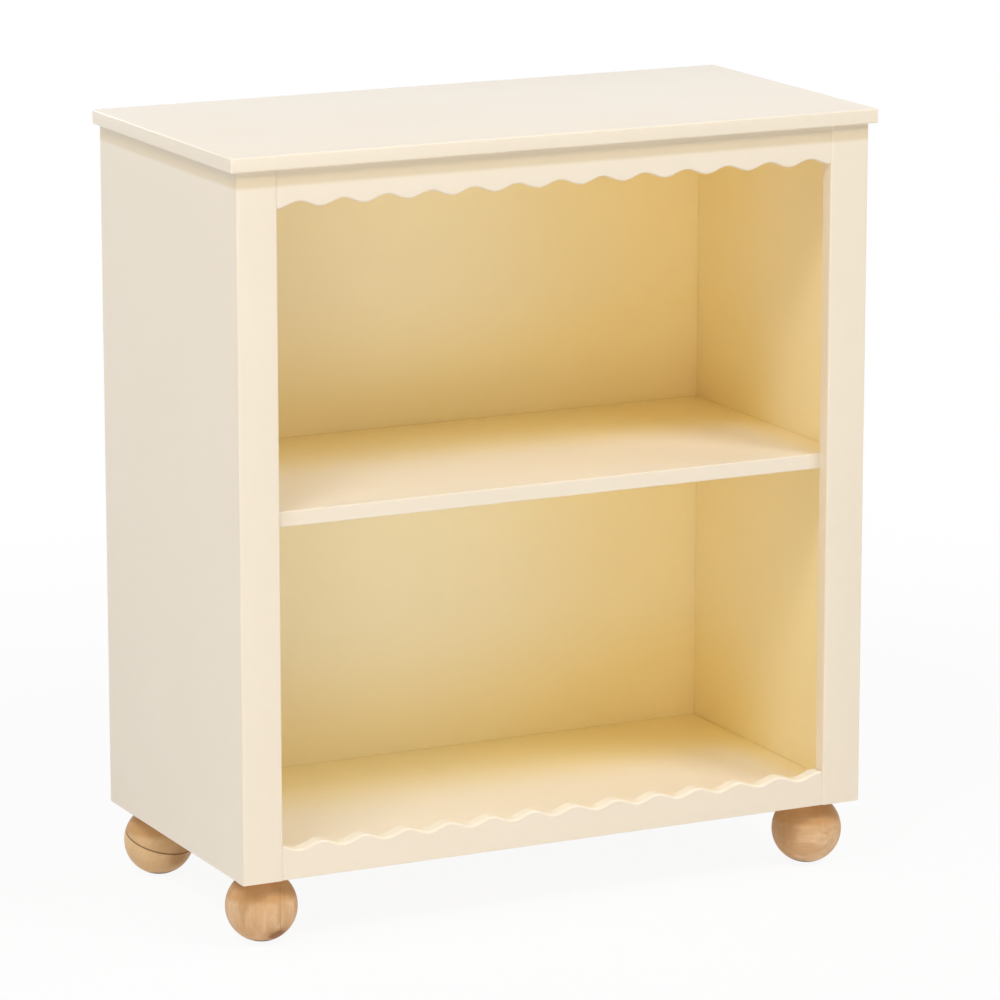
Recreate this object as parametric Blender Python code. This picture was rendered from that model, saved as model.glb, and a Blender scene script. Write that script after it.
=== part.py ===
"""A two-compartment bookcase of painted board.

The carcass is held by cam locks and dowels. A face frame with two scalloped rails stands in front of it, and
four turned wooden balls carry it. Metres, +Z up, front towards -Y, origin on the floor under the middle.
"""

import collections
import math

import bmesh
import bpy
from mathutils import Matrix, Vector

# Clearance between pieces that touch, how far a cutter passes a face, and how near two points count as one
GAP = 0.0003
OVERRUN = 0.002
SAME_POINT = 0.000001

# Boards
BOARD = 0.016
TOP_THICKNESS = 0.015
BACK_THICKNESS = 0.005
EASE = 0.001
TOP_EASE = 0.002
BACK_EASE = 0.0006

# Carcass
CARCASS_WIDTH = 0.720
CARCASS_DEPTH = 0.353
SIDE_HEIGHT = 0.733
SHELF_RISE = 0.3813
TOP_SIDE_OVERHANG = 0.008
TOP_FRONT_OVERHANG = 0.006
BACK_INSET = 0.007
GROOVE_DEPTH = 0.006

# Face frame
STILE_WIDTH = 0.0445
RAIL_SETBACK = 0.001
VALANCE_HEIGHT = 0.0405
BASE_RAIL_HEIGHT = 0.037
WAVE_DEPTH = 0.0065
BASE_WAVE_START = 0.004
WAVE_COUNT = 13
POINTS_PER_WAVE = 10

# Ball feet
FOOT_RADIUS = 0.0375
FOOT_TOP_FLAT = 0.009
FOOT_BOTTOM_FLAT = 0.006
FOOT_SIDE_INSET = 0.039
FOOT_FRONT_INSET = 0.044
FOOT_REAR_INSET = 0.040
FOOT_SIDES = 24
FOOT_ARC_STEPS = 10

# Hanger bolt and threaded insert of a foot
HANGER_RADIUS = 0.0038
HANGER_WAIST = 0.0032
HANGER_SINK = 0.026
HANGER_RISE = 0.0115
HANGER_TIP = 0.005
HANGER_CHAMFER = 0.0008
INSERT_RADIUS = 0.006
INSERT_LENGTH = 0.012
INSERT_FLANGE_RADIUS = 0.008
INSERT_FLANGE = 0.0012

# Cam lock and its bolt
CAM_RADIUS = 0.0075
CAM_HEIGHT = 0.0125
CAM_RECESS = 0.0002
CAM_INSET = 0.034
CAM_EDGE_DISTANCE = 0.090
CROSS_ARM = 0.004
CROSS_HALF_WIDTH = 0.0007
CROSS_DEPTH = 0.0022
HEAD_RADIUS = 0.003
HEAD_LENGTH = 0.0024
HEAD_FROM_CENTRE = 0.0016
NECK_RADIUS = 0.0018
SHANK_RADIUS = 0.003
COLLAR_RADIUS = 0.0036
COLLAR_LENGTH = 0.002
THREAD_RADIUS = 0.0025
THREAD_LENGTH = 0.011
THREAD_TIP = 0.002
SLOT_STOP_ANGLE = math.radians(-30)
SLOT_ENTRY_ANGLE = math.radians(90)
SLOT_STEPS = 3

# Dowels
DOWEL_RADIUS = 0.004
DOWEL_LENGTH = 0.030
DOWEL_FACE_DEPTH = 0.011
DOWEL_CHAMFER = 0.001
STILE_DOWEL_HEIGHT_SHARES = {"lower": 0.25, "upper": 0.75}

# Facets
ROUND_SIDES = 12
HIDDEN_SIDES = 8
SHARP_ANGLE = math.radians(40)

# Places that follow from the sizes above
half_width = CARCASS_WIDTH / 2
inner_half = half_width - BOARD
opening_half = half_width - STILE_WIDTH
rear = (CARCASS_DEPTH + TOP_FRONT_OVERHANG) / 2
front = rear - CARCASS_DEPTH
frame_back = front + BOARD
side_front = frame_back + GAP
back_front = rear - BACK_INSET - BACK_THICKNESS
foot_centre_height = math.sqrt(FOOT_RADIUS**2 - FOOT_BOTTOM_FLAT**2)
foot_height = foot_centre_height + math.sqrt(FOOT_RADIUS**2 - FOOT_TOP_FLAT**2)
carcass_base = foot_height + GAP
floor_level = carcass_base + BOARD
side_top = carcass_base + SIDE_HEIGHT
slab_base = side_top + GAP
shelf_top = carcass_base + SHELF_RISE
rail_front = front + RAIL_SETBACK
rail_thickness = frame_back - rail_front
wave_pitch = 2 * opening_half / WAVE_COUNT

SIDES = {"left": -1, "right": 1}
cuts = collections.defaultdict(list)


def clear_scene():
    for obj in list(bpy.data.objects):
        bpy.data.objects.remove(obj)


def finish(name, colour, roughness, metallic):
    material = bpy.data.materials.new(name)
    material.use_nodes = True
    shader = material.node_tree.nodes["Principled BSDF"]
    shader.inputs["Base Color"].default_value = (*colour, 1)
    shader.inputs["Roughness"].default_value = roughness
    shader.inputs["Metallic"].default_value = metallic
    material.diffuse_color = (*colour, 1)
    return material


# Shapes added to a bmesh


def add_rod(bm, start, end, radius, sides=ROUND_SIDES):
    axis = end - start
    turn = axis.to_track_quat("Z", "Y").to_matrix().to_4x4()
    bmesh.ops.create_cone(
        bm,
        cap_ends=True,
        segments=sides,
        radius1=radius,
        radius2=radius,
        depth=axis.length,
        matrix=Matrix.Translation((start + end) / 2) @ turn,
    )


def add_bore(bm, start, end, radius, sides=ROUND_SIDES):
    """A rod with its flats, not its corners, at the radius, so that any round piece of that radius fits."""
    add_rod(bm, start, end, radius / math.cos(math.pi / sides), sides)


def add_block(bm, low, high):
    low, high = Vector(low), Vector(high)
    bmesh.ops.create_cube(bm, size=1, matrix=Matrix.LocRotScale((low + high) / 2, None, high - low))


def add_prism(bm, outline, sweep):
    """The flat outline, swept along a straight line."""
    face = bm.faces.new([bm.verts.new(point) for point in outline])
    swept = bmesh.ops.extrude_face_region(bm, geom=[face])["geom"]
    moved = [item for item in swept if isinstance(item, bmesh.types.BMVert)]
    bmesh.ops.translate(bm, verts=moved, vec=sweep)


def mesh_of(name, *shapes):
    """One mesh from shapes, each written as its function and what that takes after the bmesh."""
    bm = bmesh.new()
    for add, *values in shapes:
        add(bm, *values)
    bmesh.ops.recalc_face_normals(bm, faces=bm.faces)
    mesh = bpy.data.meshes.new(name)
    bm.to_mesh(mesh)
    bm.free()
    return mesh


def turned_mesh(name, profile, sides, closed=False):
    """A profile of (radius, height) points, spun round Z. A closed profile makes a ring."""
    bm = bmesh.new()
    verts = [bm.verts.new((radius, 0, height)) for radius, height in profile]
    pairs = list(zip(verts, verts[1:]))
    if closed:
        pairs.append((verts[-1], verts[0]))
    edges = [bm.edges.new(pair) for pair in pairs]
    bmesh.ops.spin(bm, geom=verts + edges, axis=(0, 0, 1), cent=(0, 0, 0), angle=math.tau, steps=sides)
    bmesh.ops.remove_doubles(bm, verts=bm.verts, dist=SAME_POINT)
    bmesh.ops.recalc_face_normals(bm, faces=bm.faces)
    mesh = bpy.data.meshes.new(name)
    bm.to_mesh(mesh)
    bm.free()
    round_off(mesh)
    return mesh


def round_off(mesh):
    mesh.shade_smooth()
    mesh.set_sharp_from_angle(angle=SHARP_ANGLE)


# Objects


def place(name, mesh, material, matrix):
    """A named object. Copies of a piece share its mesh."""
    obj = bpy.data.objects.new(name, mesh)
    bpy.context.scene.collection.objects.link(obj)
    obj.matrix_world = matrix
    if not mesh.materials:
        mesh.materials.append(material)
    return obj


def ease_edges(obj, width, segments=2, limit="ANGLE"):
    bevel = obj.modifiers.new("eased_edges", "BEVEL")
    bevel.width = width
    bevel.segments = segments
    bevel.limit_method = limit


def board(name, low, high, material, ease=EASE, segments=2):
    """A board with eased edges, between two corners."""
    low, high = Vector(low), Vector(high)
    half = (high - low) / 2
    mesh = mesh_of(name, (add_block, -half, half))
    obj = place(name, mesh, material, Matrix.Translation((low + high) / 2))
    ease_edges(obj, ease, segments)
    return obj


def cut(obj, kind, shapes):
    """Takes the shapes out of the object. They are in world coordinates and keep clear of one another."""
    name = f"{obj.name}_{kind}_cutter"
    cutter = bpy.data.objects.new(name, mesh_of(name, *shapes))
    bpy.context.scene.collection.objects.link(cutter)
    cutter.hide_render = True
    cutter.display_type = "WIRE"
    boolean = obj.modifiers.new(kind, "BOOLEAN")
    boolean.object = cutter


def axes_matrix(origin, x_axis, z_axis):
    """A frame at the origin with the given X and Z axes."""
    y_axis = z_axis.cross(x_axis)
    return Matrix.Translation(origin) @ Matrix((x_axis, y_axis, z_axis)).transposed().to_4x4()


# Fastenings


def cam_mesh(material):
    """A cam drum round its Z axis, with its bolt along X. It is hollow, slotted so that it can turn onto the
    bolt's neck, open to the rim where the head enters, and has a cross for the screwdriver."""
    face = BOARD / 2 - CAM_RECESS
    cavity_radius = math.hypot(HEAD_FROM_CENTRE + HEAD_LENGTH, HEAD_RADIUS) + GAP
    cavity_half = HEAD_RADIUS + GAP
    slot_half = NECK_RADIUS + GAP
    reach = CAM_RADIUS + OVERRUN
    drum_shape = (add_rod, Vector((0, 0, face - CAM_HEIGHT)), Vector((0, 0, face)), CAM_RADIUS)
    drum = place("cam_drum", mesh_of("cam_drum", drum_shape), material, Matrix())

    half_height = Vector((0, 0, cavity_half))
    cavity = (add_bore, -half_height, half_height, cavity_radius, HIDDEN_SIDES)
    cross = [
        Matrix.Rotation(quarter * math.tau / 4, 4, "Z") @ Vector((along, across, face - CROSS_DEPTH))
        for quarter in range(4)
        for along, across in (
            (CROSS_ARM, -CROSS_HALF_WIDTH),
            (CROSS_ARM, CROSS_HALF_WIDTH),
            (CROSS_HALF_WIDTH, CROSS_HALF_WIDTH),
        )
    ]
    cut(drum, "cavity", [cavity, (add_prism, cross, Vector((0, 0, CROSS_DEPTH + OVERRUN)))])

    span = SLOT_ENTRY_ANGLE - SLOT_STOP_ANGLE
    slot_angles = [SLOT_STOP_ANGLE + span * step / SLOT_STEPS for step in range(SLOT_STEPS + 1)]
    fan = [Vector((0, 0, -slot_half))]
    fan += [Vector((reach * math.cos(angle), reach * math.sin(angle), -slot_half)) for angle in slot_angles]
    cut(drum, "slot", [(add_prism, fan, Vector((0, 0, 2 * slot_half)))])
    cut(drum, "entry", [(add_block, (-cavity_half, 0, -cavity_half), (cavity_half, reach, cavity_half))])

    evaluated = drum.evaluated_get(bpy.context.evaluated_depsgraph_get())
    mesh = bpy.data.meshes.new_from_object(evaluated)
    for modifier in drum.modifiers:
        bpy.data.objects.remove(modifier.object)
    bpy.data.objects.remove(drum)
    round_off(mesh)
    return mesh


def cam_bolt_mesh():
    """Along Z from the face that it is screwed into: thread below, then collar, shank, neck and head."""
    head_end = GAP + CAM_INSET - HEAD_FROM_CENTRE
    neck_start = CAM_INSET - CAM_RADIUS
    profile = [
        (0, -THREAD_LENGTH),
        (THREAD_RADIUS, THREAD_TIP - THREAD_LENGTH),
        (THREAD_RADIUS, GAP),
        (COLLAR_RADIUS, GAP),
        (COLLAR_RADIUS, GAP + COLLAR_LENGTH),
        (SHANK_RADIUS, GAP + COLLAR_LENGTH),
        (SHANK_RADIUS, neck_start),
        (NECK_RADIUS, neck_start),
        (NECK_RADIUS, head_end - HEAD_LENGTH),
        (HEAD_RADIUS, head_end - HEAD_LENGTH),
        (HEAD_RADIUS, head_end),
        (0, head_end),
    ]
    return turned_mesh("cam_bolt", profile, HIDDEN_SIDES)


def dowel_mesh():
    """Along Z, from the bottom of its hole in the board that it enters through a face."""
    profile = [
        (0, 0),
        (DOWEL_RADIUS - DOWEL_CHAMFER, 0),
        (DOWEL_RADIUS, DOWEL_CHAMFER),
        (DOWEL_RADIUS, DOWEL_LENGTH - DOWEL_CHAMFER),
        (DOWEL_RADIUS - DOWEL_CHAMFER, DOWEL_LENGTH),
        (0, DOWEL_LENGTH),
    ]
    return turned_mesh("dowel", profile, HIDDEN_SIDES)


def cam_joint(name, holder, other, point, inward, out_of_face):
    """A cam in the holder and a bolt in the other board. The point is on the holder's end, halfway through
    it, inward runs along the holder from there, and the cam is let in against out_of_face."""
    centre = point + inward * CAM_INSET
    pocket_depth = CAM_RECESS + CAM_HEIGHT + GAP
    surface = centre + out_of_face * BOARD / 2
    other_face = point - inward * GAP
    pocket_floor = surface - out_of_face * pocket_depth
    cuts[holder, "pockets"].append(
        (add_bore, pocket_floor, surface + out_of_face * OVERRUN, CAM_RADIUS + GAP)
    )
    cuts[holder, "holes"].append((add_bore, point - inward * OVERRUN, centre, COLLAR_RADIUS + GAP))
    thread_end = other_face - inward * (THREAD_LENGTH + GAP)
    cuts[other, "holes"].append((add_bore, thread_end, point + inward * OVERRUN, THREAD_RADIUS + GAP))
    place(f"cam_{name}", pieces["cam"], finishes["zinc"], axes_matrix(centre, -inward, out_of_face))
    bolt_place = axes_matrix(other_face, out_of_face, inward)
    place(f"cam_bolt_{name}", pieces["cam_bolt"], finishes["steel"], bolt_place)


def dowel_joint(name, edge_board, face_board, point, inward, across):
    """A dowel between the end of one board and the face of another. The point is on the end, and inward
    runs from there into the edge board."""
    face_end = point - inward * (DOWEL_FACE_DEPTH + GAP)
    edge_end = face_end + inward * DOWEL_LENGTH
    cuts[face_board, "holes"].append(
        (add_bore, face_end - inward * GAP, point + inward * OVERRUN, DOWEL_RADIUS + GAP)
    )
    cuts[edge_board, "holes"].append(
        (add_bore, point - inward * OVERRUN, edge_end + inward * GAP, DOWEL_RADIUS + GAP)
    )
    place(name, pieces["dowel"], finishes["dowel_beech"], axes_matrix(face_end, across, inward))


# Panels


def make_panels():
    paint = finishes["cream_paint"]
    top_half = half_width + TOP_SIDE_OVERHANG
    board(
        "top_panel",
        (-top_half, front - TOP_FRONT_OVERHANG, slab_base),
        (top_half, rear, slab_base + TOP_THICKNESS),
        paint,
        TOP_EASE,
        segments=3,
    )
    for side, sign in SIDES.items():
        near, far = sorted((sign * inner_half, sign * half_width))
        board(f"side_panel_{side}", (near, side_front, carcass_base), (far, rear, side_top), paint)
        near, far = sorted((sign * opening_half, sign * half_width))
        board(f"stile_{side}", (near, front, carcass_base), (far, frame_back, side_top), paint)
    end = inner_half - GAP
    board("bottom_panel", (-end, side_front, carcass_base), (end, rear, floor_level), paint)
    board("shelf", (-end, side_front, shelf_top - BOARD), (end, back_front - GAP, shelf_top), paint)


def make_back():
    """A thin panel in grooves of the sides, the top and the bottom."""
    half = inner_half + GROOVE_DEPTH
    low = floor_level - GROOVE_DEPTH
    high = slab_base + GROOVE_DEPTH
    groove_front = back_front - GAP
    groove_rear = back_front + BACK_THICKNESS + GAP
    board(
        "back_panel",
        (GAP - half, back_front, low + GAP),
        (half - GAP, back_front + BACK_THICKNESS, high - GAP),
        finishes["cream_paint"],
        BACK_EASE,
        segments=1,
    )
    cuts["top_panel", "groove"].append(
        (add_block, (-half, groove_front, slab_base - OVERRUN), (half, groove_rear, high))
    )
    past_end = inner_half + OVERRUN
    cuts["bottom_panel", "groove"].append(
        (add_block, (-past_end, groove_front, low), (past_end, groove_rear, floor_level + OVERRUN))
    )
    for side, sign in SIDES.items():
        near, far = sorted((sign * (inner_half - OVERRUN), sign * half))
        cuts[f"side_panel_{side}", "groove"].append(
            (add_block, (near, groove_front, carcass_base - OVERRUN), (far, groove_rear, side_top + OVERRUN))
        )


def scalloped_rail(name, straight_level, wave_level, swing, start):
    """A rail between the stiles with one straight and one waved edge, eased at its front. The waves swing
    from the wave level, and the left end is cut the start past the place where they touch it."""
    end = opening_half - GAP
    steps = WAVE_COUNT * POINTS_PER_WAVE
    outline = [Vector((end, rail_front, straight_level)), Vector((-end, rail_front, straight_level))]
    for step in range(steps + 1):
        x = end * (2 * step / steps - 1)
        turn = math.tau * (x + opening_half + start) / wave_pitch
        outline.append(Vector((x, rail_front, wave_level + swing * (1 - math.cos(turn)) / 2)))
    mesh = mesh_of(name, (add_prism, outline, Vector((0, rail_thickness, 0))))
    round_off(mesh)
    weights = mesh.attributes.new("bevel_weight_edge", "FLOAT", "EDGE").data
    for edge in mesh.edges:
        in_front = all(mesh.vertices[corner].co.y < rail_front + EASE for corner in edge.vertices)
        weights[edge.index].value = in_front
    ease_edges(place(name, mesh, finishes["cream_paint"], Matrix()), EASE, limit="WEIGHT")


def make_rails():
    scalloped_rail("scalloped_valance", side_top, side_top - VALANCE_HEIGHT, WAVE_DEPTH, 0)
    scalloped_rail(
        "scalloped_base_rail",
        carcass_base,
        carcass_base + BASE_RAIL_HEIGHT,
        -WAVE_DEPTH,
        BASE_WAVE_START,
    )


# Joints


def end_places(first, last):
    """Where the fastenings of a joint stand between the front and the rear edge of a board."""
    return {"front": first + CAM_EDGE_DISTANCE, "rear": last - CAM_EDGE_DISTANCE}, (first + last) / 2


def make_top_joints():
    cam_places, dowel_place = end_places(side_front, rear)
    for side, sign in SIDES.items():
        panel = f"side_panel_{side}"
        x = sign * (half_width - BOARD / 2)
        down = Vector((0, 0, -1))
        inside = Vector((-sign, 0, 0))
        for where, y in cam_places.items():
            cam_joint(f"top_{side}_{where}", panel, "top_panel", Vector((x, y, side_top)), down, inside)
        point = Vector((x, dowel_place, side_top))
        dowel_joint(f"dowel_top_{side}", panel, "top_panel", point, down, inside)


def make_level_joints(level, panel, mid_height, last):
    """The joints at both ends of a level board, with the cams let into its underside."""
    cam_places, dowel_place = end_places(side_front, last)
    under = Vector((0, 0, -1))
    for side, sign in SIDES.items():
        x = sign * (inner_half - GAP)
        inward = Vector((-sign, 0, 0))
        side_panel = f"side_panel_{side}"
        for where, y in cam_places.items():
            point = Vector((x, y, mid_height))
            cam_joint(f"{level}_{side}_{where}", panel, side_panel, point, inward, under)
        point = Vector((x, dowel_place, mid_height))
        dowel_joint(f"dowel_{level}_{side}", panel, side_panel, point, inward, under)


def make_frame_joints():
    """Dowels from the stiles into the sides, and from the rail ends into the stiles."""
    rail_middle = (rail_front + frame_back) / 2
    backward = Vector((0, 1, 0))
    up = Vector((0, 0, 1))
    rail_heights = {
        "valance": side_top - VALANCE_HEIGHT / 2,
        "base_rail": carcass_base + (BASE_RAIL_HEIGHT - WAVE_DEPTH) / 2,
    }
    for side, sign in SIDES.items():
        x = sign * (half_width - BOARD / 2)
        for where, share in STILE_DOWEL_HEIGHT_SHARES.items():
            point = Vector((x, side_front, carcass_base + share * SIDE_HEIGHT))
            name = f"stile_dowel_{side}_{where}"
            dowel_joint(name, f"side_panel_{side}", f"stile_{side}", point, backward, up)
        for rail, height in rail_heights.items():
            point = Vector((sign * (opening_half - GAP), rail_middle, height))
            name = f"{rail}_dowel_{side}"
            dowel_joint(name, f"scalloped_{rail}", f"stile_{side}", point, Vector((-sign, 0, 0)), up)


# Feet


def foot_mesh():
    """A ball with a flat below and above, bored from above for its bolt. Its origin is on the floor."""
    lowest = math.asin(FOOT_BOTTOM_FLAT / FOOT_RADIUS)
    highest = math.pi - math.asin(FOOT_TOP_FLAT / FOOT_RADIUS)
    bore = HANGER_RADIUS + GAP
    bore_floor = foot_height - HANGER_SINK - GAP
    profile = [(0, 0)]
    for step in range(FOOT_ARC_STEPS + 1):
        angle = lowest + (highest - lowest) * step / FOOT_ARC_STEPS
        profile.append((FOOT_RADIUS * math.sin(angle), foot_centre_height - FOOT_RADIUS * math.cos(angle)))
    profile += [(bore, foot_height), (bore, bore_floor), (0, bore_floor)]
    return turned_mesh("ball_foot", profile, FOOT_SIDES)


def hanger_bolt_mesh():
    """Wood screw below, machine screw above, from the top of the foot."""
    profile = [
        (0, -HANGER_SINK),
        (HANGER_RADIUS, HANGER_TIP - HANGER_SINK),
        (HANGER_RADIUS, -HANGER_TIP),
        (HANGER_WAIST, HANGER_WAIST - HANGER_TIP),
        (HANGER_WAIST, -HANGER_CHAMFER),
        (HANGER_RADIUS, 0),
        (HANGER_RADIUS, HANGER_RISE - HANGER_CHAMFER),
        (HANGER_RADIUS - HANGER_CHAMFER, HANGER_RISE),
        (0, HANGER_RISE),
    ]
    return turned_mesh("hanger_bolt", profile, HIDDEN_SIDES)


def insert_mesh():
    """A flanged sleeve, from the underside of the bottom panel upwards."""
    bore = HANGER_RADIUS + GAP
    profile = [
        (bore, 0),
        (INSERT_FLANGE_RADIUS, 0),
        (INSERT_FLANGE_RADIUS, INSERT_FLANGE),
        (INSERT_RADIUS, INSERT_FLANGE),
        (INSERT_RADIUS, INSERT_LENGTH),
        (bore, INSERT_LENGTH),
    ]
    return turned_mesh("threaded_insert", profile, ROUND_SIDES, closed=True)


def make_feet():
    foot = foot_mesh()
    hanger_bolt = hanger_bolt_mesh()
    insert = insert_mesh()
    rows = {"front": front + FOOT_FRONT_INSET, "rear": rear - FOOT_REAR_INSET}
    for row, y in rows.items():
        for side, sign in SIDES.items():
            where = f"{row}_{side}"
            on_floor = Vector((sign * (half_width - FOOT_SIDE_INSET), y, 0))
            under = on_floor + Vector((0, 0, carcass_base))
            place(f"foot_{where}", foot, finishes["turned_beech"], Matrix.Translation(on_floor))
            bolt_place = Matrix.Translation(on_floor + Vector((0, 0, foot_height)))
            place(f"hanger_bolt_{where}", hanger_bolt, finishes["steel"], bolt_place)
            place(f"threaded_insert_{where}", insert, finishes["zinc"], Matrix.Translation(under))
            below = under - Vector((0, 0, OVERRUN))
            flange_seat = under + Vector((0, 0, INSERT_FLANGE + GAP))
            sleeve_end = under + Vector((0, 0, INSERT_LENGTH + GAP))
            recess_radius = INSERT_FLANGE_RADIUS + GAP
            cuts["bottom_panel", "pockets"].append((add_bore, below, flange_seat, recess_radius))
            cuts["bottom_panel", "holes"].append((add_bore, below, sleeve_end, INSERT_RADIUS + GAP))


clear_scene()
finishes = {
    "cream_paint": finish("cream_paint", (0.87, 0.78, 0.60), 0.35, 0),
    "turned_beech": finish("turned_beech", (0.62, 0.37, 0.18), 0.55, 0),
    "dowel_beech": finish("dowel_beech", (0.66, 0.46, 0.27), 0.7, 0),
    "zinc": finish("zinc", (0.55, 0.55, 0.56), 0.45, 1),
    "steel": finish("steel", (0.62, 0.62, 0.60), 0.3, 1),
}
pieces = {
    "cam": cam_mesh(finishes["zinc"]),
    "cam_bolt": cam_bolt_mesh(),
    "dowel": dowel_mesh(),
}
make_panels()
make_back()
make_rails()
make_top_joints()
make_level_joints("shelf", "shelf", shelf_top - BOARD / 2, back_front - GAP)
make_level_joints("bottom", "bottom_panel", floor_level - BOARD / 2, rear)
make_frame_joints()
make_feet()
for (name, kind), shapes in cuts.items():
    cut(bpy.data.objects[name], kind, shapes)
bpy.context.view_layer.update()
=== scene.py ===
"""Looks of the bookcase: cream satin paint, finer scalloped rails, turned ball feet and studio light.

Metres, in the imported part's frame: front towards -Y, +Z up, floor at z = 0.
"""

import math

import bmesh
import bpy
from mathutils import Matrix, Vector


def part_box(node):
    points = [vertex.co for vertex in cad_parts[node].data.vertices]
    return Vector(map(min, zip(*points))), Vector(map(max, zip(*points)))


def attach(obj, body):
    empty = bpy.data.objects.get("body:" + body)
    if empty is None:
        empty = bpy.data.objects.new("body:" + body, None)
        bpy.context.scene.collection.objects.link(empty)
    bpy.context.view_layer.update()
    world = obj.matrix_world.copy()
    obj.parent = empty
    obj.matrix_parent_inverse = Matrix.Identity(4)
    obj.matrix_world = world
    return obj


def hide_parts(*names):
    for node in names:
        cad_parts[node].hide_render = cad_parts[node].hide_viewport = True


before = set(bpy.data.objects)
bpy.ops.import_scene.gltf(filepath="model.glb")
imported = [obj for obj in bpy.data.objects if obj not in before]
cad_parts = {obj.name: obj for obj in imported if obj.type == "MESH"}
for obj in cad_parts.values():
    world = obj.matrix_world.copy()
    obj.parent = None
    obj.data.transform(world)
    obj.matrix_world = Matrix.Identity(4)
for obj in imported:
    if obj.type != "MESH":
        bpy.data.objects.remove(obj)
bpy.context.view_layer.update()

# Faces of the part that the paint's tones go by
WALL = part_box("side_panel_right")[0].x
SIDE_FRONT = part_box("side_panel_right")[0].y
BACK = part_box("back_panel")[0].y
BOTTOM_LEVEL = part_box("bottom_panel")[1].z
SHELF_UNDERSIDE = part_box("shelf")[0].z
SHELF_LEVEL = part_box("shelf")[1].z
SLAB_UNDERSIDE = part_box("top_panel")[0].z
BASE_RAIL_LOW, BASE_RAIL_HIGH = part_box("scalloped_base_rail")
FACE_MARGIN = 0.0005

# Scalloped rails, as the part has them. The start shifts the waves along the rail, and the flat faces begin
# a little past each rounded edge.
WAVE_COUNT = 13
WAVE_DEPTH = 0.0065
POINTS_PER_WAVE = 28
RAIL_EASE = 0.0022
BACK_EASE = 0.0005
EASE_STEPS = 5
EASE_MARGIN_SHARE = 1.3
CLEARANCE = 0.0003
RAILS = {
    "scalloped_valance": {"waved_edge": "low", "start": 0},
    "scalloped_base_rail": {"waved_edge": "high", "start": 0.004},
}

# Boards with edges rounded as paint leaves them
TOP_ROUND = 0.0013
STILE_INNER_ROUND = 0.0024
STILE_OUTER_ROUND = 0.0016
ROUND_STEPS = 6
CIRCULAR = 0.5
BOARD_SHARP_DEGREES = 35

# Ball feet
BALL_SIDES = 128
BALL_STEPS = 64
BALL_SHARP_DEGREES = 30
BOTTOM_FLAT = 0.006
TOP_FLAT = 0.009
MERGE = 0.000001

# Beads of painted filler, hollow by a depth that sways along them. A sway is in radians for each row.
BEAD_STEPS = 3
BEAD_HOLLOW = 0.00006
BEAD_SWAY_SHARE = 0.5

# Beads between the ends of the rails and the stiles, set a little towards the stile, whose edge is rounder
RAIL_BEAD = {"half": 0.0006, "sink": 0.00022, "towards_stile": 0.00022, "rows": 12, "sway": 1.7}

# Beads between stiles and side panels
STILE_BEAD = {"half": 0.0011, "sink": 0.00008, "ends": 0.001, "rows": 90, "sway": 0.9, "slow_sway": 0.37}

# Paint: its tone outside, and inside the compartments brighter and yellower as painted warm bounce light: at
# the mouth, deep in them, and in their darkest painted shade
OUTSIDE_PAINT = (0.864, 0.755, 0.600)
MOUTH_PAINT = (0.965, 0.912, 0.830)
DEEP_PAINT = (0.965, 0.875, 0.590)
DARKEST_SHADE_PAINT = (0.955, 0.790, 0.370)

# The space that counts as inside the compartments
INSIDE = {
    "X": (-WALL - FACE_MARGIN, WALL + FACE_MARGIN),
    "Y": (SIDE_FRONT + FACE_MARGIN, BACK + FACE_MARGIN),
    "Z": (BOTTOM_LEVEL - FACE_MARGIN, SLAB_UNDERSIDE + FACE_MARGIN),
}

# Where the paint in the compartments is deep, from front to back, and how painted shade yellows it there
# with the distance from the right wall, low down and in the upper compartment. At the mouth the painted
# shade lies only on the right wall itself.
DEEP = (-0.040, 0.150)
SHADE_ACROSS = {"from_wall": (0.004, 0.394), "share": 0.60}
SHADE_WALL = {"from_wall": (0.003, 0.054), "share": 0.75}
SHADE_LOW = {"height_shares": (0.02, 0.42), "share": 0.68}
SHADE_UPPER_SHARE = 0.30
COMPARTMENT_BASE = BOTTOM_LEVEL - FACE_MARGIN
COMPARTMENT_PITCH = SHELF_LEVEL - BOTTOM_LEVEL

# Outside, a painted shadow makes a yellower band under the slab, and a painted highlight makes the waved
# edge of the base rail paler where it faces up. The band's places are drops from the slab's underside.
PAINTED_SHADOW_BAND = {
    "top": 0.0001,
    "head": (0.0020, 0.0110),
    "foot": (0.0148, 0.0198),
    "shares": (0.40, 0.85),
    "tone": (0.720, 0.580, 0.370),
}
# Painted highlight: a paler tone on the base rail's waved edge where it faces up
PAINTED_HIGHLIGHT_EDGE = {
    "space": {
        "Y": (BASE_RAIL_LOW.y - FACE_MARGIN, BASE_RAIL_HIGH.y + FACE_MARGIN),
        "Z": (BASE_RAIL_HIGH.z - WAVE_DEPTH - RAIL_EASE, BASE_RAIL_HIGH.z + FACE_MARGIN),
    },
    "facing": (0.70, 0.95),
    "share": 0.95,
    "tone": (0.985, 0.935, 0.830),
}

# Slight unevenness of the paint. A noise's scale is how often it repeats in a metre.
PAINT_NOISE = {
    "cloud": {"scale": 5, "detail": 3},
    "mottle": {"scale": 90, "detail": 3},
    "gloss": {"scale": 9, "detail": 4},
    "stipple": {"scale": 520, "detail": 2},
    "ripple": {"scale": 60, "detail": 1},
}
CLOUD = {"range": (0.3, 0.7), "share": 0.5, "tint": (0.980, 0.976, 0.965)}
MOTTLE = {"range": (0.25, 0.75), "share": 0.5, "tint": (0.988, 0.984, 0.975)}
PAINT_GLOSS = {"range": (0.3, 0.7), "roughness": (0.36, 0.44)}
PAINT_COAT = {"Coat Weight": 1, "Coat Roughness": 0.36}
PAINT_RELIEF = {"Strength": 0.25, "Distance": 0.0001}
STIPPLE_SHARE = 0.4

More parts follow.
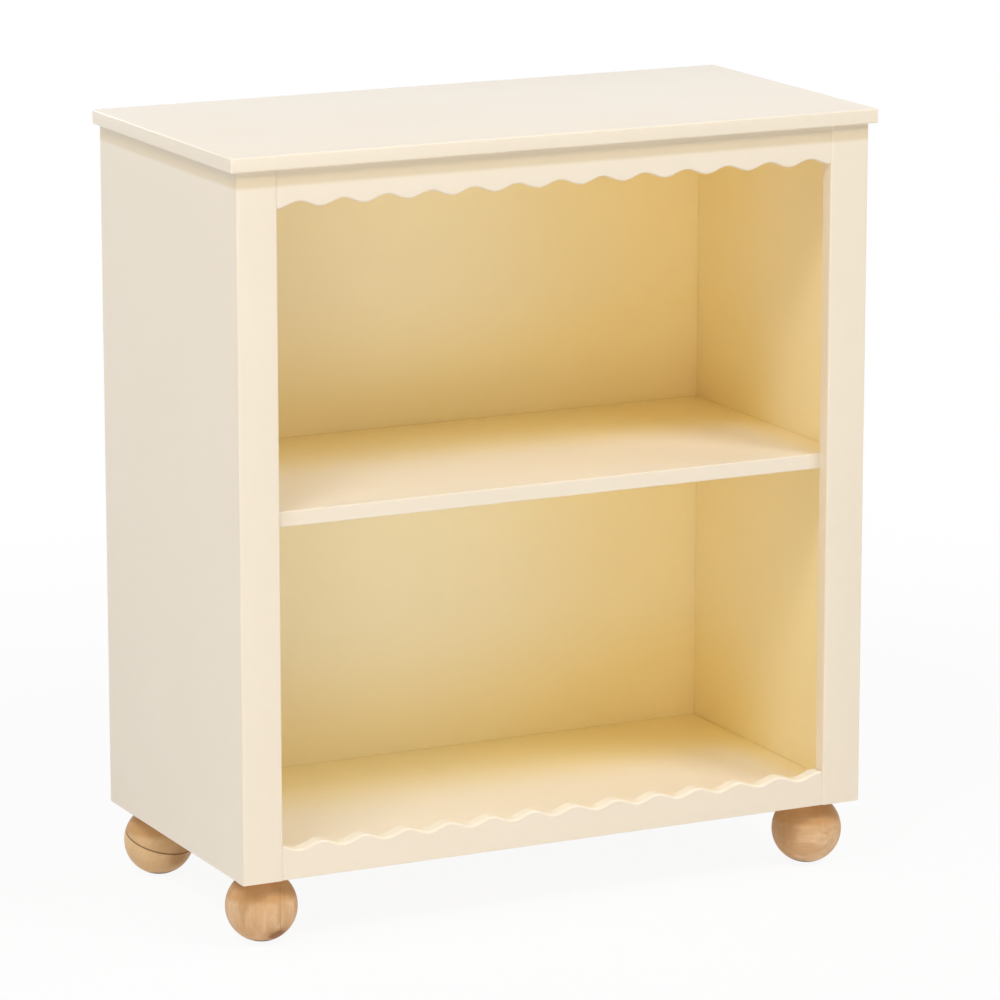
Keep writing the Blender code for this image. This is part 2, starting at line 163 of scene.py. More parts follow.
# Grain of the balls: noises, drawn out along the grain, and the tones that they bring in
GRAIN = {
    "drift": {"along_shares": (1, 1, 0.35), "noise": {"scale": 30, "detail": 2}},
    "fibre": {"along_shares": (1, 1, 0.04), "noise": {"scale": 900, "detail": 3, "roughness": 0.6}},
    "streak": {"along_shares": (1, 1, 0.09), "noise": {"scale": 230, "detail": 3}, "range": (0.35, 0.65)},
    "fleck": {
        "along_shares": (1, 0.45, 0.12), "noise": {"scale": 620, "detail": 1}, "range": (0.62, 0.74)
    },
    "cloud": {"along_shares": (1, 1, 0.4), "noise": {"scale": 48, "detail": 3}, "range": (0.34, 0.66)},
}
RING_ALONG_SHARES = (1, 1, 0.06)
RING_WIDTH = 0.0042
RING_DRIFT = 0.010
LATE_WOOD = {"begins": (0.45, 0.9), "ends": (0.93, 1.0)}
FIBRE_SHARE = 0.25
FLECK_SHARE = 0.25
LATE_RELIEF_SHARE = 0.6
WOOD = {
    "early": (0.850, 0.595, 0.358),
    "dull": (0.685, 0.422, 0.215),
    "late": (0.520, 0.270, 0.115),
    "streak": (0.600, 0.340, 0.160),
    "fibre": (0.620, 0.360, 0.180),
    "fleck": (0.420, 0.215, 0.095),
    "painted_light": (0.980, 0.700, 0.390),
    "stain_and_shade": (0.480, 0.255, 0.110),
    "knot_halo": (0.420, 0.200, 0.080),
    "knot_core": (0.260, 0.100, 0.018),
    "above_glue_and_shade": (0.500, 0.275, 0.110),
    "glue": (0.190, 0.080, 0.025),
}
BALL_GLOSS = {"range": (0.3, 0.7), "roughness": (0.42, 0.56)}
BALL_SPECULAR = {"Specular IOR Level": 0.2}
BALL_RELIEF = {"Strength": 0.3, "Distance": 0.00012}

# Marks on the balls. Their edges lie at these numbers of half sizes, and a noise makes them uneven.
STAIN_AND_SHADE = {"edge": (0.7, 1.8), "noise": {"scale": 120, "detail": 2}, "wobble": 0.6}
KNOT = {
    "halo": {"edge": (1.1, 2.1), "share": 0.55},
    "core": {"edge": (0.8, 1.35), "share": 0.85},
    "noise": {"scale": 260, "detail": 3},
    "wobble": 0.5,
}
GLUE = {"above": 0.0004, "solid_share": 0.4, "relief": 3}

# Painted shadow where the balls meet the carcass, and painted contact shade where they touch the floor
CARCASS_SHADOW = {"rise": (0.009, 0.016), "share": 0.58, "tone": (0.560, 0.270, 0.080)}
FLOOR_CONTACT_SHADE = {"drop": (-0.0338, -0.0295), "share": 0.9, "tone": (0.120, 0.055, 0.018)}
RISE_WOBBLE = 0.002

# Each ball: the turn of its grain, where its rings centre, how strongly rings and streaks show, its marks
BALLS = {
    "foot_front_left": {
        "turn": (0.10, -0.10, 0.5),
        "pith": (0.030, 0.045),
        "rings": 0.14,
        "streaks": 0.30,
        "stain_and_shade": {"centre": (-0.0288, -0.0209, 0.0102), "half": (0.006, 0.006, 0.015), "share": 0.5},
        "knot": {
            "centre": (0.0062, -0.0266, -0.0257), "turn": (0, 0.32, 0), "half": (0.0115, 0.0090, 0.0085)
        },
        "glue_line": {
            "normal": (0.8958, -0.4445, 0), "offset": 0.0205, "half": 0.0006, "share": 0.35, "above": 0
        },
    },
    "foot_rear_left": {
        "turn": (0.3, 1.3, 0.2),
        "pith": (-0.040, 0.050),
        "rings": 0.25,
        "streaks": 0.30,
        # The rear left ball is painted paler, as painted light
        "painted_light": 0.5,
        # Painted shade on this ball's side under the carcass
        "stain_and_shade": {"centre": (0.0083, -0.0343, -0.0128), "half": (0.012, 0.012, 0.012), "share": 0.6},
        "glue_line": {
            "normal": (0.144, -0.281, 0.949), "offset": 0.0031, "half": 0.0013, "share": 0.8, "above": 0.3
        },
    },
    "foot_front_right": {
        "turn": (0.05, 1.52, -0.5),
        "pith": (0.010, 0.070),
        "rings": 0.12,
        "streaks": 0.45,
        # Painted shade on this ball's left side, away from the light
        "stain_and_shade": {"centre": (-0.0332, -0.0159, 0.0066), "half": (0.014, 0.014, 0.022), "share": 0.5},
    },
    "foot_rear_right": {"turn": (1.4, 0.2, 0.9), "pith": (0.035, -0.050), "rings": 0.25, "streaks": 0.30},
}

# Fittings and dowels
METALS = {
    "zinc": {
        "name": "cast_zinc", "dark": (0.42, 0.42, 0.43), "light": (0.56, 0.56, 0.57), "roughness": 0.42
    },
    "steel": {
        "name": "plated_steel", "dark": (0.55, 0.55, 0.54), "light": (0.68, 0.68, 0.66), "roughness": 0.26
    },
}
METAL_CLOUD = {"noise": {"scale": 320, "detail": 3}, "range": (0.3, 0.7), "rougher": 0.12}
METAL_PITS = {"scale": 2400, "detail": 2}
METAL_RELIEF = {"Strength": 0.3, "Distance": 0.00005}
DOWEL = {
    "noise": {"scale": 400, "detail": 4, "distortion": 1},
    "range": (0.3, 0.7),
    "dark": (0.60, 0.41, 0.24),
    "light": (0.72, 0.53, 0.33),
    "roughness": (0.6, 0.75),
}
DOWEL_RELIEF = {"Strength": 0.3, "Distance": 0.0001}

# Camera, fitted to the photograph
CAMERA_PLACE = (-2.4926, -5.0576, 1.6829)
CAMERA_LOOK = (0.43347, 0.87363, -0.22109)
SENSOR = 36
LENS = 196.7
FARTHEST = 100

# Light
WORLD_LIGHT = (0.15, 0.15, 0.15)
WHITE = (1, 1, 1)
LAMPS = {
    "key": {"place": (1.9, -3.3, 4.6), "size": 1.6, "power": 110},
    "high_left": {"place": (-2.85, -2.55, 4.575), "size": 1.8, "power": 98},
    "high_side": {"place": (-2.6, 0.2, 3.0), "size": 1.4, "power": 21},
    "left": {"place": (-3.2, -1.2, 1.5), "size": 2.0, "power": 9},
    "right": {"place": (3.0, -0.6, 2.6), "size": 1.4, "power": 24},
    "front_fill": {"place": (-0.3, -3.9, 0.9), "size": 1.2, "power": 16},
    "low_fill": {"place": (-1.6, -2.2, 0.12), "size": 0.6, "power": 9},
    "rear": {"place": (-1.0, 3.2, 1.6), "size": 1.6, "power": 22},
}
AIM = (0, 0, 0.45)
DIFFUSE_BOUNCES = 16
ALL_BOUNCES = 24

# Floor: the camera sees it nearly white by the bookcase, and all white farther out
FLOOR_HALF = 30
FLOOR_NOISE = {"scale": 3, "detail": 2}
FLOOR_TONES = ((0.83, 0.83, 0.82), (0.85, 0.85, 0.84))
FLOOR_WHITE = 0.92
FLOOR_FADE = (0.7, 2.0)


# Node helpers


def new_tree(name):
    material = bpy.data.materials.new(name)
    material.use_nodes = True
    tree = material.node_tree
    tree.nodes.clear()
    output = tree.nodes.new("ShaderNodeOutputMaterial")
    return material, tree, output


def add(tree, kind, inputs=None, **settings):
    """A node with its settings. Each input is a value, or the socket that feeds it."""
    node = tree.nodes.new(kind)
    for key, value in settings.items():
        setattr(node, key, value)
    for key, value in (inputs or {}).items():
        if isinstance(value, bpy.types.NodeSocket):
            tree.links.new(value, node.inputs[key])
        else:
            node.inputs[key].default_value = value
    return node


def math_node(tree, operation, *values, clamp=False):
    node = add(tree, "ShaderNodeMath", dict(enumerate(values)), operation=operation, use_clamp=clamp)
    return node.outputs[0]


def plus(tree, first, second, clamp=False):
    return math_node(tree, "ADD", first, second, clamp=clamp)


def minus(tree, first, second):
    return math_node(tree, "SUBTRACT", first, second)


def times(tree, first, second):
    return math_node(tree, "MULTIPLY", first, second)


def vector_node(tree, operation, *values):
    node = add(tree, "ShaderNodeVectorMath", dict(enumerate(values)), operation=operation)
    return node.outputs["Value" if operation in ("LENGTH", "DOT_PRODUCT") else "Vector"]


def coordinates(tree):
    return add(tree, "ShaderNodeTexCoord").outputs


def axes_of(tree, place):
    return add(tree, "ShaderNodeSeparateXYZ", {0: place}).outputs


def noise(tree, place, scale, detail=2, roughness=0.5, distortion=0):
    inputs = {
        "Vector": place,
        "Scale": scale,
        "Detail": detail,
        "Roughness": roughness,
        "Distortion": distortion,
    }
    return add(tree, "ShaderNodeTexNoise", inputs).outputs["Fac"]


def spread(tree, value, low, high, to_low=0, to_high=1):
    """The value brought smoothly from one range to another, and held there."""
    inputs = {"Value": value, "From Min": low, "From Max": high, "To Min": to_low, "To Max": to_high}
    return add(tree, "ShaderNodeMapRange", inputs, interpolation_type="SMOOTHSTEP").outputs["Result"]


def within(tree, axes, bounds):
    """One where each named axis lies between its two values, and nothing elsewhere."""
    inside = 1
    for axis, (low, high) in bounds.items():
        inside = times(tree, inside, math_node(tree, "GREATER_THAN", axes[axis], low))
        inside = times(tree, inside, math_node(tree, "LESS_THAN", axes[axis], high))
    return inside


def mix_colour(tree, share, first, second, blend="MIX"):
    node = add(tree, "ShaderNodeMix", data_type="RGBA", blend_type=blend)
    for socket, value in zip((node.inputs[0], node.inputs[6], node.inputs[7]), (share, first, second)):
        if isinstance(value, bpy.types.NodeSocket):
            tree.links.new(value, socket)
        else:
            socket.default_value = value if isinstance(value, (int, float)) else (*value, 1)
    return node.outputs[2]


def finish_surface(tree, output, tone, roughness, height, relief, fixed):
    """The shader with its colour, roughness, bump and fixed settings, joined to the material's output."""
    bump = add(tree, "ShaderNodeBump", {"Height": height, **relief})
    inputs = {"Base Color": tone, "Roughness": roughness, "Normal": bump.outputs[0], **fixed}
    shader = add(tree, "ShaderNodeBsdfPrincipled", inputs)
    tree.links.new(shader.outputs[0], output.inputs["Surface"])


def seen_share(tree):
    """One where the camera looks straight at a surface, or sees it mirrored or through glass."""
    path = add(tree, "ShaderNodeLightPath").outputs
    seen = math_node(tree, "MAXIMUM", path["Is Camera Ray"], path["Is Glossy Ray"])
    return math_node(tree, "MAXIMUM", seen, path["Is Transmission Ray"])


# Paint


def inside_tone(tree, axes):
    """Cream in the compartments, brighter and yellower than outside as painted warm bounce light, and
    yellower still as painted shade at the back, the right and the foot.
    """
    depth = spread(tree, axes["Y"], *DEEP)
    from_wall = minus(tree, WALL, axes["X"])
    across = spread(tree, from_wall, *SHADE_ACROSS["from_wall"], SHADE_ACROSS["share"], 0)
    height = minus(tree, axes["Z"], COMPARTMENT_BASE)
    height_share = math_node(tree, "FRACT", math_node(tree, "DIVIDE", height, COMPARTMENT_PITCH))
    low_down = spread(tree, height_share, *SHADE_LOW["height_shares"], SHADE_LOW["share"], 0)
    upper = math_node(tree, "GREATER_THAN", axes["Z"], SHELF_UNDERSIDE + FACE_MARGIN)
    upper = times(tree, upper, SHADE_UPPER_SHARE)
    # Painted shade: yellower near the right wall, low down, in the upper compartment, and deeper in
    painted_shade = times(tree, plus(tree, plus(tree, across, low_down), upper), depth)
    wall_shade = spread(tree, from_wall, *SHADE_WALL["from_wall"], SHADE_WALL["share"], 0)
    wall_shade = times(tree, wall_shade, minus(tree, 1, depth))
    cream = mix_colour(tree, depth, MOUTH_PAINT, DEEP_PAINT)
    return mix_colour(tree, plus(tree, painted_shade, wall_shade, clamp=True), cream, DARKEST_SHADE_PAINT)


def outside_tone(tree, axes, normal):
    """Cream with a painted shadow in a band under the slab, and a painted highlight on the waved edge where
    it faces up.
    """
    # Painted shadow: a yellower band just under the slab
    drop = minus(tree, SLAB_UNDERSIDE, axes["Z"])
    painted_shadow = spread(tree, drop, *PAINTED_SHADOW_BAND["head"], *PAINTED_SHADOW_BAND["shares"])
    painted_shadow = times(tree, painted_shadow, spread(tree, drop, *PAINTED_SHADOW_BAND["foot"], 1, 0))
    painted_shadow = times(tree, painted_shadow, math_node(tree, "GREATER_THAN", drop, PAINTED_SHADOW_BAND["top"]))
    cream = mix_colour(tree, painted_shadow, OUTSIDE_PAINT, PAINTED_SHADOW_BAND["tone"])
    # Painted highlight on the waved edge of the base rail, where its faces look up
    edge = spread(tree, axes_of(tree, normal)["Z"], *PAINTED_HIGHLIGHT_EDGE["facing"], 0, PAINTED_HIGHLIGHT_EDGE["share"])
    edge = times(tree, edge, within(tree, axes, PAINTED_HIGHLIGHT_EDGE["space"]))
    return mix_colour(tree, edge, cream, PAINTED_HIGHLIGHT_EDGE["tone"])


def cream_paint():
    """Satin lacquer on board, slightly uneven in tone and gloss, with a fine stipple."""
    material, tree, output = new_tree("satin_cream_paint")
    sources = coordinates(tree)
    axes = axes_of(tree, sources["Object"])
    outer = outside_tone(tree, axes, sources["Normal"])
    tone = mix_colour(tree, within(tree, axes, INSIDE), outer, inside_tone(tree, axes))
    layers = {name: noise(tree, sources["Object"], **how) for name, how in PAINT_NOISE.items()}
    for name, look in (("cloud", CLOUD), ("mottle", MOTTLE)):
        share = times(tree, spread(tree, layers[name], *look["range"]), look["share"])
        tone = mix_colour(tree, share, tone, look["tint"], "MULTIPLY")
    roughness = spread(tree, layers["gloss"], *PAINT_GLOSS["range"], *PAINT_GLOSS["roughness"])
    height = plus(tree, times(tree, layers["stipple"], STIPPLE_SHARE), layers["ripple"])
    finish_surface(tree, output, tone, roughness, height, PAINT_RELIEF, PAINT_COAT)
    return material


# Wood of the balls


def turned_back(tree, place, turn):
    """The place as it lies in something that has this turn."""
    inputs = {"Vector": place, "Rotation": turn}
    return add(tree, "ShaderNodeMapping", inputs, vector_type="TEXTURE").outputs[0]


def far_off(tree, offset, half, place, wobble, noise_settings):
    """How far a place is from the middle of a mark, in the mark's half sizes, with an uneven edge."""
    far = vector_node(tree, "LENGTH", vector_node(tree, "DIVIDE", offset, half))
    return plus(tree, far, times(tree, noise(tree, place, **noise_settings), wobble))


def add_stain_and_shade(tree, tone, from_centre, place, stain_and_shade):
    """A brown patch that fades out: a stain on the front left ball, and painted shade on the rear left and
    front right balls.
    """
    offset = vector_node(tree, "SUBTRACT", from_centre, stain_and_shade["centre"])
    far = far_off(tree, offset, stain_and_shade["half"], place, STAIN_AND_SHADE["wobble"], STAIN_AND_SHADE["noise"])
    return mix_colour(tree, spread(tree, far, *STAIN_AND_SHADE["edge"], stain_and_shade["share"], 0), tone, WOOD["stain_and_shade"])


def add_knot(tree, tone, from_centre, place, knot):
    """A knot: a dark core in a brown halo."""
    offset = turned_back(tree, vector_node(tree, "SUBTRACT", from_centre, knot["centre"]), knot["turn"])
    far = far_off(tree, offset, knot["half"], place, KNOT["wobble"], KNOT["noise"])
    for ring in ("halo", "core"):
        share = spread(tree, far, *KNOT[ring]["edge"], KNOT[ring]["share"], 0)
        tone = mix_colour(tree, share, tone, WOOD[f"knot_{ring}"])
    return tone


def add_glue_line(tree, tone, relief, from_centre, glue_line):
    """The joint between the two blocks that a ball is glued from, with darker wood on one side of it, which
    is partly painted shade under the carcass.
    """
    height = vector_node(tree, "DOT_PRODUCT", from_centre, glue_line["normal"])
    height = minus(tree, height, glue_line["offset"])
    above = times(tree, spread(tree, height, 0, GLUE["above"]), glue_line["above"])
    half = glue_line["half"]
    line = spread(tree, math_node(tree, "ABSOLUTE", height), GLUE["solid_share"] * half, half, 1, 0)
    tone = mix_colour(tree, above, tone, WOOD["above_glue_and_shade"])
    tone = mix_colour(tree, times(tree, line, glue_line["share"]), tone, WOOD["glue"])
    return tone, minus(tree, relief, times(tree, line, glue_line["share"] * GLUE["relief"]))


def ball_wood(name, centre, turn, pith, rings, streaks, painted_light=0, stain_and_shade=None, knot=None, glue_line=None):
    """Turned light hardwood. The turn sets the way of the grain, and the pith is where the growth rings
    centre, across the grain from the ball's own centre."""
    material, tree, output = new_tree(name)
    from_centre = vector_node(tree, "SUBTRACT", coordinates(tree)["Object"], centre)
    place = turned_back(tree, from_centre, turn)

    grain = {}
    for layer, how in GRAIN.items():
        drawn = vector_node(tree, "MULTIPLY", place, how["along_shares"])
        grain[layer] = noise(tree, drawn, **how["noise"])
        if "range" in how:
            grain[layer] = spread(tree, grain[layer], *how["range"])
    off_pith = vector_node(tree, "SUBTRACT", place, (*pith, 0))
    across = vector_node(tree, "LENGTH", vector_node(tree, "MULTIPLY", off_pith, RING_ALONG_SHARES))
    across = plus(tree, across, times(tree, grain["drift"], RING_DRIFT))
    ring = math_node(tree, "FRACT", math_node(tree, "DIVIDE", across, RING_WIDTH))
    late = spread(tree, ring, *LATE_WOOD["begins"])
    late = times(tree, late, spread(tree, ring, *LATE_WOOD["ends"], 1, 0))

    tone = mix_colour(tree, grain["cloud"], WOOD["dull"], WOOD["early"])
    tone = mix_colour(tree, times(tree, late, rings), tone, WOOD["late"])
    tone = mix_colour(tree, times(tree, grain["streak"], streaks), tone, WOOD["streak"])
    tone = mix_colour(tree, times(tree, grain["fibre"], FIBRE_SHARE), tone, WOOD["fibre"])
    tone = mix_colour(tree, times(tree, grain["fleck"], FLECK_SHARE), tone, WOOD["fleck"])
    # A paler tone over a whole ball, as painted light
    tone = mix_colour(tree, painted_light, tone, WOOD["painted_light"])
    relief = plus(tree, grain["fibre"], times(tree, late, LATE_RELIEF_SHARE))
    if stain_and_shade:
        tone = add_stain_and_shade(tree, tone, from_centre, place, stain_and_shade)
    if knot:
        tone = add_knot(tree, tone, from_centre, place, knot)
    if glue_line:
        tone, relief = add_glue_line(tree, tone, relief, from_centre, glue_line)

    rise = plus(tree, axes_of(tree, from_centre)["Z"], times(tree, grain["cloud"], RISE_WOBBLE))
    # Painted shadow at the top of each ball under the carcass, and painted contact shade at its foot
    tone = mix_colour(tree, spread(tree, rise, *CARCASS_SHADOW["rise"], 0, CARCASS_SHADOW["share"]), tone, CARCASS_SHADOW["tone"])
    tone = mix_colour(tree, spread(tree, rise, *FLOOR_CONTACT_SHADE["drop"], FLOOR_CONTACT_SHADE["share"], 0), tone, FLOOR_CONTACT_SHADE["tone"])
    roughness = spread(tree, grain["fibre"], *BALL_GLOSS["range"], *BALL_GLOSS["roughness"])
    finish_surface(tree, output, tone, roughness, relief, BALL_RELIEF, BALL_SPECULAR)
    return material


# Fittings and dowels


def dull_metal(name, dark, light, roughness):
    """Plated or cast metal of a fitting, clouded and finely pitted."""
    material, tree, output = new_tree(name)
    place = coordinates(tree)["Object"]
    cloud = spread(tree, noise(tree, place, **METAL_CLOUD["noise"]), *METAL_CLOUD["range"])
    tone = mix_colour(tree, cloud, dark, light)
    roughness = spread(tree, cloud, 0, 1, roughness, roughness + METAL_CLOUD["rougher"])
    pits = noise(tree, place, **METAL_PITS)
    finish_surface(tree, output, tone, roughness, pits, METAL_RELIEF, {"Metallic": 1})
    return material


def dowel_wood():
    """Plain pale wood of the dowels."""
    material, tree, output = new_tree("dowel_wood")
    grain = noise(tree, coordinates(tree)["Object"], **DOWEL["noise"])
    tone = mix_colour(tree, spread(tree, grain, *DOWEL["range"]), DOWEL["dark"], DOWEL["light"])
    roughness = spread(tree, grain, *DOWEL["range"], *DOWEL["roughness"])
    finish_surface(tree, output, tone, roughness, grain, DOWEL_RELIEF, {})
    return material


# Pieces


def smooth_mesh(name, bm, sharp_degrees):
    mesh = bpy.data.meshes.new(name)
    bm.to_mesh(mesh)
    bm.free()
    mesh.shade_smooth()
    mesh.set_sharp_from_angle(angle=math.radians(sharp_degrees))
    return mesh


def ring_mesh(name, rows):
    """A closed body through cross-sections, each of them one ring of places."""
    bm = bmesh.new()
    rings = [[bm.verts.new(place) for place in row] for row in rows]
    for near, far in zip(rings, rings[1:]):
        for index in range(len(near)):
            bm.faces.new((near[index - 1], near[index], far[index], far[index - 1]))
    bm.faces.new(rings[0])
    bm.faces.new(rings[-1])
    bmesh.ops.recalc_face_normals(bm, faces=bm.faces)
    return smooth_mesh(name, bm, BOARD_SHARP_DEGREES)


def piece(name, mesh, material):
    mesh.materials.append(material)
    obj = bpy.data.objects.new(name, mesh)
    bpy.context.scene.collection.objects.link(obj)
    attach(obj, "root")
    return obj


def finer_piece(name, mesh, material, node):
    """A finer form in the place of a node of the part."""
    obj = piece(name, mesh, material)
    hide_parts(node)


def ball_mesh(name, centre, radius, top):
    """A ball with its flats, spun round its upright axis."""
    lowest = math.asin(BOTTOM_FLAT / radius)
    highest = math.pi - math.asin(TOP_FLAT / radius)
    middle = radius * math.cos(lowest)
    profile = [(0, 0)]
    for step in range(BALL_STEPS + 1):
        angle = lowest + (highest - lowest) * step / BALL_STEPS
        profile.append((radius * math.sin(angle), middle - radius * math.cos(angle)))
    profile.append((0, top))
    bm = bmesh.new()
    verts = [bm.verts.new((centre.x + across, centre.y, height)) for across, height in profile]
    edges = [bm.edges.new(pair) for pair in zip(verts, verts[1:])]
    axis_place = (centre.x, centre.y, 0)
    bmesh.ops.spin(
        bm, geom=verts + edges, axis=(0, 0, 1), cent=axis_place, angle=math.tau, steps=BALL_SIDES
    )
    bmesh.ops.remove_doubles(bm, verts=bm.verts, dist=MERGE)
    bmesh.ops.recalc_face_normals(bm, faces=bm.faces)
    return smooth_mesh(name, bm, BALL_SHARP_DEGREES)


def make_foot(node, look):
    low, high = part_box(node)
    radius = (high.x - low.x) / 2
    height = math.sqrt(radius**2 - BOTTOM_FLAT**2)
    centre = Vector(((low.x + high.x) / 2, (low.y + high.y) / 2, height))
    mesh = ball_mesh(f"turned_{node}", centre, radius, high.z)
    wood = ball_wood(f"{node}_wood", tuple(centre), **look)
    finer_piece(f"turned_{node}", mesh, wood, node)


def rail_section(front, back, edge, straight, inward):
    """Places round a rail's cross-section at one point of its waves: the waved edge rounder in front."""
    quarter = [math.pi / 2 * step / EASE_STEPS for step in range(EASE_STEPS + 1)]
    section = [(back, edge)]
    for turned in quarter:
        depth = front + RAIL_EASE * (1 - math.sin(turned))
        section.append((depth, edge + inward * RAIL_EASE * (1 - math.cos(turned))))
    section.append((front, edge + inward * RAIL_EASE * EASE_MARGIN_SHARE))
    section.append((front, straight - inward * BACK_EASE * EASE_MARGIN_SHARE))
    for turned in quarter:
        depth = front + BACK_EASE * (1 - math.cos(turned))
        section.append((depth, straight - inward * BACK_EASE * (1 - math.sin(turned))))
    section.append((back, straight))
    return section


def make_rail(node, waved_edge, start, material):
    """The rail with more points to each wave, and a rounder front edge."""
    low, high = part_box(node)
    opening_half = high.x + CLEARANCE
    pitch = 2 * opening_half / WAVE_COUNT
    straight, waved, inward = (high.z, low.z, 1) if waved_edge == "low" else (low.z, high.z, -1)
    columns = WAVE_COUNT * POINTS_PER_WAVE
    rows = []
    for column in range(columns + 1):
        x = low.x + (high.x - low.x) * column / columns
        turn = math.tau * (x + opening_half + start) / pitch
        edge = waved + inward * WAVE_DEPTH * (1 - math.cos(turn)) / 2
        rows.append([(x, y, z) for y, z in rail_section(low.y, high.y, edge, straight, inward)])
    finer_piece(f"fine_{node}", ring_mesh(f"fine_{node}", rows), material, node)


def make_board(node, material, radius_of):
    """The board with rounder edges. The rule gives each edge its radius, or nothing, from the place of the
    edge's middle in shares of the board's half sizes."""
    low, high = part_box(node)
    middle, half = (low + high) / 2, (high - low) / 2
    bm = bmesh.new()
    bmesh.ops.create_cube(bm, size=2)
    for vert in bm.verts:
        vert.co = Vector((vert.co.x * half.x, vert.co.y * half.y, vert.co.z * half.z)) + middle
    rounds = {}
    for edge in bm.edges:
        centre = (edge.verts[0].co + edge.verts[1].co) / 2 - middle
        radius = radius_of(*(round(part / whole) for part, whole in zip(centre, half)))
        if radius:
            rounds.setdefault(radius, []).append(edge)
    for radius, edges in sorted(rounds.items()):
        bmesh.ops.bevel(
            bm,
            geom=edges,
            offset=radius,
            segments=ROUND_STEPS,
            profile=CIRCULAR,
            affect="EDGES",
            clamp_overlap=True,
        )
    mesh = smooth_mesh(f"fine_{node}", bm, BOARD_SHARP_DEGREES)
    finer_piece(f"fine_{node}", mesh, material, node)


def stile_rounds(inner):
    """The rule for a stile's two front edges, the inner one rounder."""

    def radius_of(x, y, z):
        if y != -1 or z != 0:
            return 0
        return STILE_INNER_ROUND if x == inner else STILE_OUTER_ROUND

    return radius_of


def bead_section(half, hollow):
    """Places round a bead's cross-section: how far across from its middle line, and how deep."""
    shares = [step / BEAD_STEPS for step in range(-BEAD_STEPS, BEAD_STEPS + 1)]
    return [(half * share, hollow * (1 - share**2)) for share in shares] + [(0, half)]


def make_rail_bead(node, waved_edge, side, sign, material):
    """A bead of painted filler between the end of a rail and its stile."""
    low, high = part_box(node)
    stile_low, stile_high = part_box(f"stile_{side}")
    stile_edge = min(abs(stile_low.x), abs(stile_high.x))
    middle = (high.x + stile_edge) / 2 + RAIL_BEAD["towards_stile"]
    front = low.y + RAIL_BEAD["sink"]
    foot_ease, head_ease = (RAIL_EASE, BACK_EASE) if waved_edge == "low" else (BACK_EASE, RAIL_EASE)
    foot, head = low.z + foot_ease, high.z - head_ease
    rows = []
    for row in range(RAIL_BEAD["rows"] + 1):
        height = foot + (head - foot) * row / RAIL_BEAD["rows"]
        hollow = BEAD_HOLLOW * (1 + BEAD_SWAY_SHARE * math.sin(RAIL_BEAD["sway"] * row))
        section = bead_section(RAIL_BEAD["half"], hollow)
        rows.append([(sign * (middle + across), front + deep, height) for across, deep in section])
    name = f"{node}_filler_{side}"
    piece(name, ring_mesh(name, rows), material)


def make_stile_bead(side, sign, material):
    """A bead of painted filler between a stile and its side panel, so that the joint hardly shows."""
    stile_low, stile_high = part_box(f"stile_{side}")
    panel_low, panel_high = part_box(f"side_panel_{side}")
    flush = max(abs(panel_low.x), abs(panel_high.x)) - STILE_BEAD["sink"]
    middle = (stile_high.y + panel_low.y) / 2
    foot, head = panel_low.z + STILE_BEAD["ends"], panel_high.z - STILE_BEAD["ends"]
    rows = []
    for row in range(STILE_BEAD["rows"] + 1):
        height = foot + (head - foot) * row / STILE_BEAD["rows"]
        sway = math.sin(STILE_BEAD["sway"] * row) * math.sin(STILE_BEAD["slow_sway"] * row)
        section = bead_section(STILE_BEAD["half"], BEAD_HOLLOW * (1 + BEAD_SWAY_SHARE * sway))
        rows.append([(sign * (flush - deep), middle + across, height) for across, deep in section])
    name = f"joint_filler_{side}"
    piece(name, ring_mesh(name, rows), material)


# Stage


def make_floor():
    """A pale floor that the camera sees as white, with a soft trace of the bookcase's shadow."""
    mesh = bpy.data.meshes.new("studio_floor")
    half = FLOOR_HALF
    corners = [(-half, -half, 0), (half, -half, 0), (half, half, 0), (-half, half, 0)]
    mesh.from_pydata(corners, [], [(0, 1, 2, 3)])
    floor = bpy.data.objects.new("studio_floor", mesh)
    bpy.context.scene.collection.objects.link(floor)
    material, tree, output = new_tree("studio_floor")
    place = coordinates(tree)["Object"]
    tone = mix_colour(tree, noise(tree, place, **FLOOR_NOISE), *FLOOR_TONES)
    lit = add(tree, "ShaderNodeBsdfDiffuse", {"Color": tone})
    white = add(tree, "ShaderNodeEmission", {"Color": (*WHITE, 1), "Strength": 1})
    far = vector_node(tree, "LENGTH", place)
    share = times(tree, seen_share(tree), spread(tree, far, *FLOOR_FADE, FLOOR_WHITE, 1))
    mixed = add(tree, "ShaderNodeMixShader", {0: share, 1: lit.outputs[0], 2: white.outputs[0]})
    tree.links.new(mixed.outputs[0], output.inputs["Surface"])
    mesh.materials.append(material)


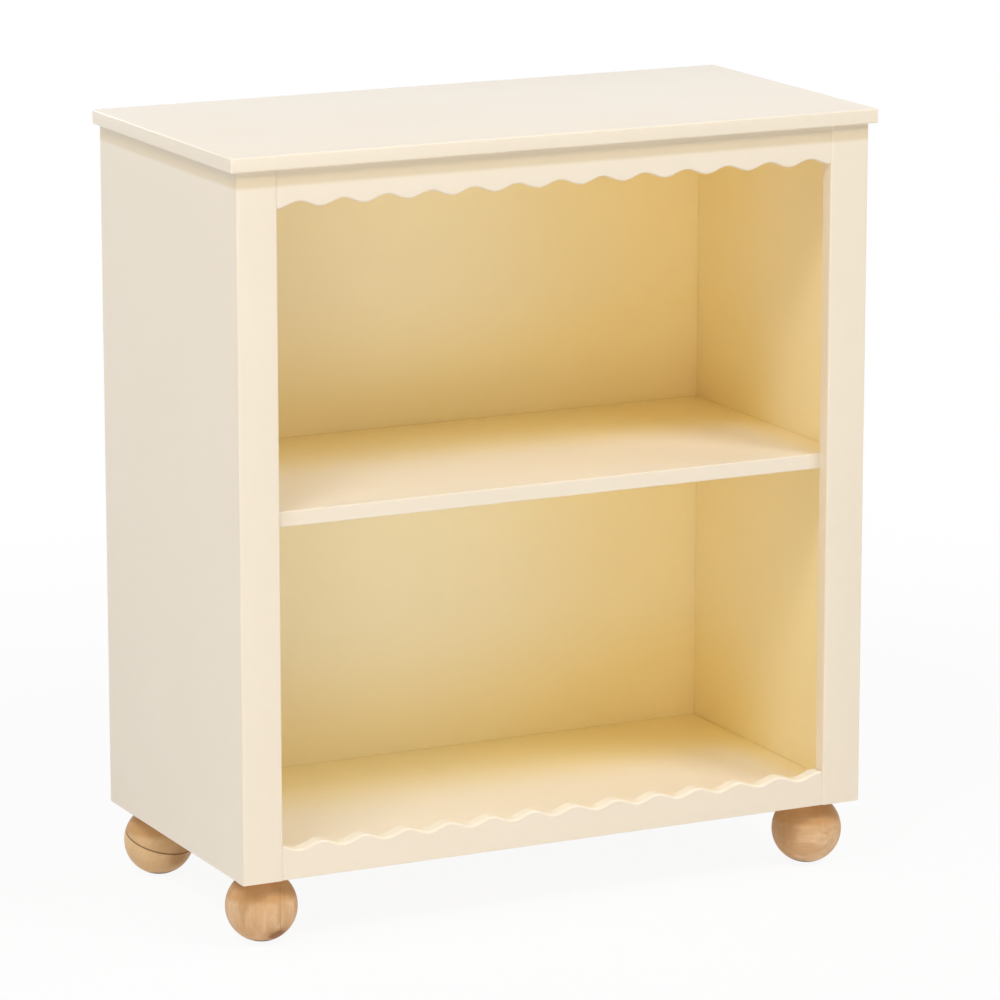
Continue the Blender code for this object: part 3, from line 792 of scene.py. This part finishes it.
def make_world():
    """Dim even light from all round, on a background that the camera sees as white."""
    world = bpy.data.worlds.new("studio")
    bpy.context.scene.world = world
    world.use_nodes = True
    tree = world.node_tree
    tree.nodes.clear()
    light = add(tree, "ShaderNodeBackground", {"Color": (*WORLD_LIGHT, 1), "Strength": 1})
    white = add(tree, "ShaderNodeBackground", {"Color": (*WHITE, 1), "Strength": 1})
    seen = seen_share(tree)
    mixed = add(tree, "ShaderNodeMixShader", {0: seen, 1: light.outputs[0], 2: white.outputs[0]})
    output = add(tree, "ShaderNodeOutputWorld")
    tree.links.new(mixed.outputs[0], output.inputs["Surface"])


def make_lamp(name, place, size, power):
    light = bpy.data.lights.new(name, "AREA")
    light.shape = "SQUARE"
    light.size = size
    light.energy = power
    lamp = bpy.data.objects.new(name, light)
    lamp.location = place
    lamp.rotation_mode = "QUATERNION"
    lamp.rotation_quaternion = (Vector(AIM) - lamp.location).to_track_quat("-Z", "Y")
    bpy.context.scene.collection.objects.link(lamp)


def make_camera():
    camera = bpy.data.cameras.new("camera")
    camera.sensor_width = SENSOR
    camera.lens = LENS
    camera.clip_end = FARTHEST
    obj = bpy.data.objects.new("camera", camera)
    obj.location = CAMERA_PLACE
    obj.rotation_mode = "QUATERNION"
    obj.rotation_quaternion = Vector(CAMERA_LOOK).to_track_quat("-Z", "Y")
    bpy.context.scene.collection.objects.link(obj)
    bpy.context.scene.camera = obj


make_camera()
paint = cream_paint()
finishes = {"cream_paint": paint, "dowel_beech": dowel_wood()}
for slot_name, look in METALS.items():
    finishes[slot_name] = dull_metal(**look)
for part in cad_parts.values():
    for slot in part.material_slots:
        finish = finishes.get(slot.material.name)
        if finish:
            slot.material = finish
for node, look in BALLS.items():
    make_foot(node, look)
make_board("top_panel", paint, lambda x, y, z: TOP_ROUND)
make_board("stile_left", paint, stile_rounds(1))
make_board("stile_right", paint, stile_rounds(-1))
for node, shape in RAILS.items():
    make_rail(node, shape["waved_edge"], shape["start"], paint)
for side, sign in (("left", -1), ("right", 1)):
    make_stile_bead(side, sign, paint)
    for node, shape in RAILS.items():
        make_rail_bead(node, shape["waved_edge"], side, sign, paint)
make_floor()
make_world()
for name, lamp in LAMPS.items():
    make_lamp(name, **lamp)
bpy.context.scene.view_settings.view_transform = "Standard"
bpy.context.scene.cycles.diffuse_bounces = DIFFUSE_BOUNCES
bpy.context.scene.cycles.max_bounces = ALL_BOUNCES
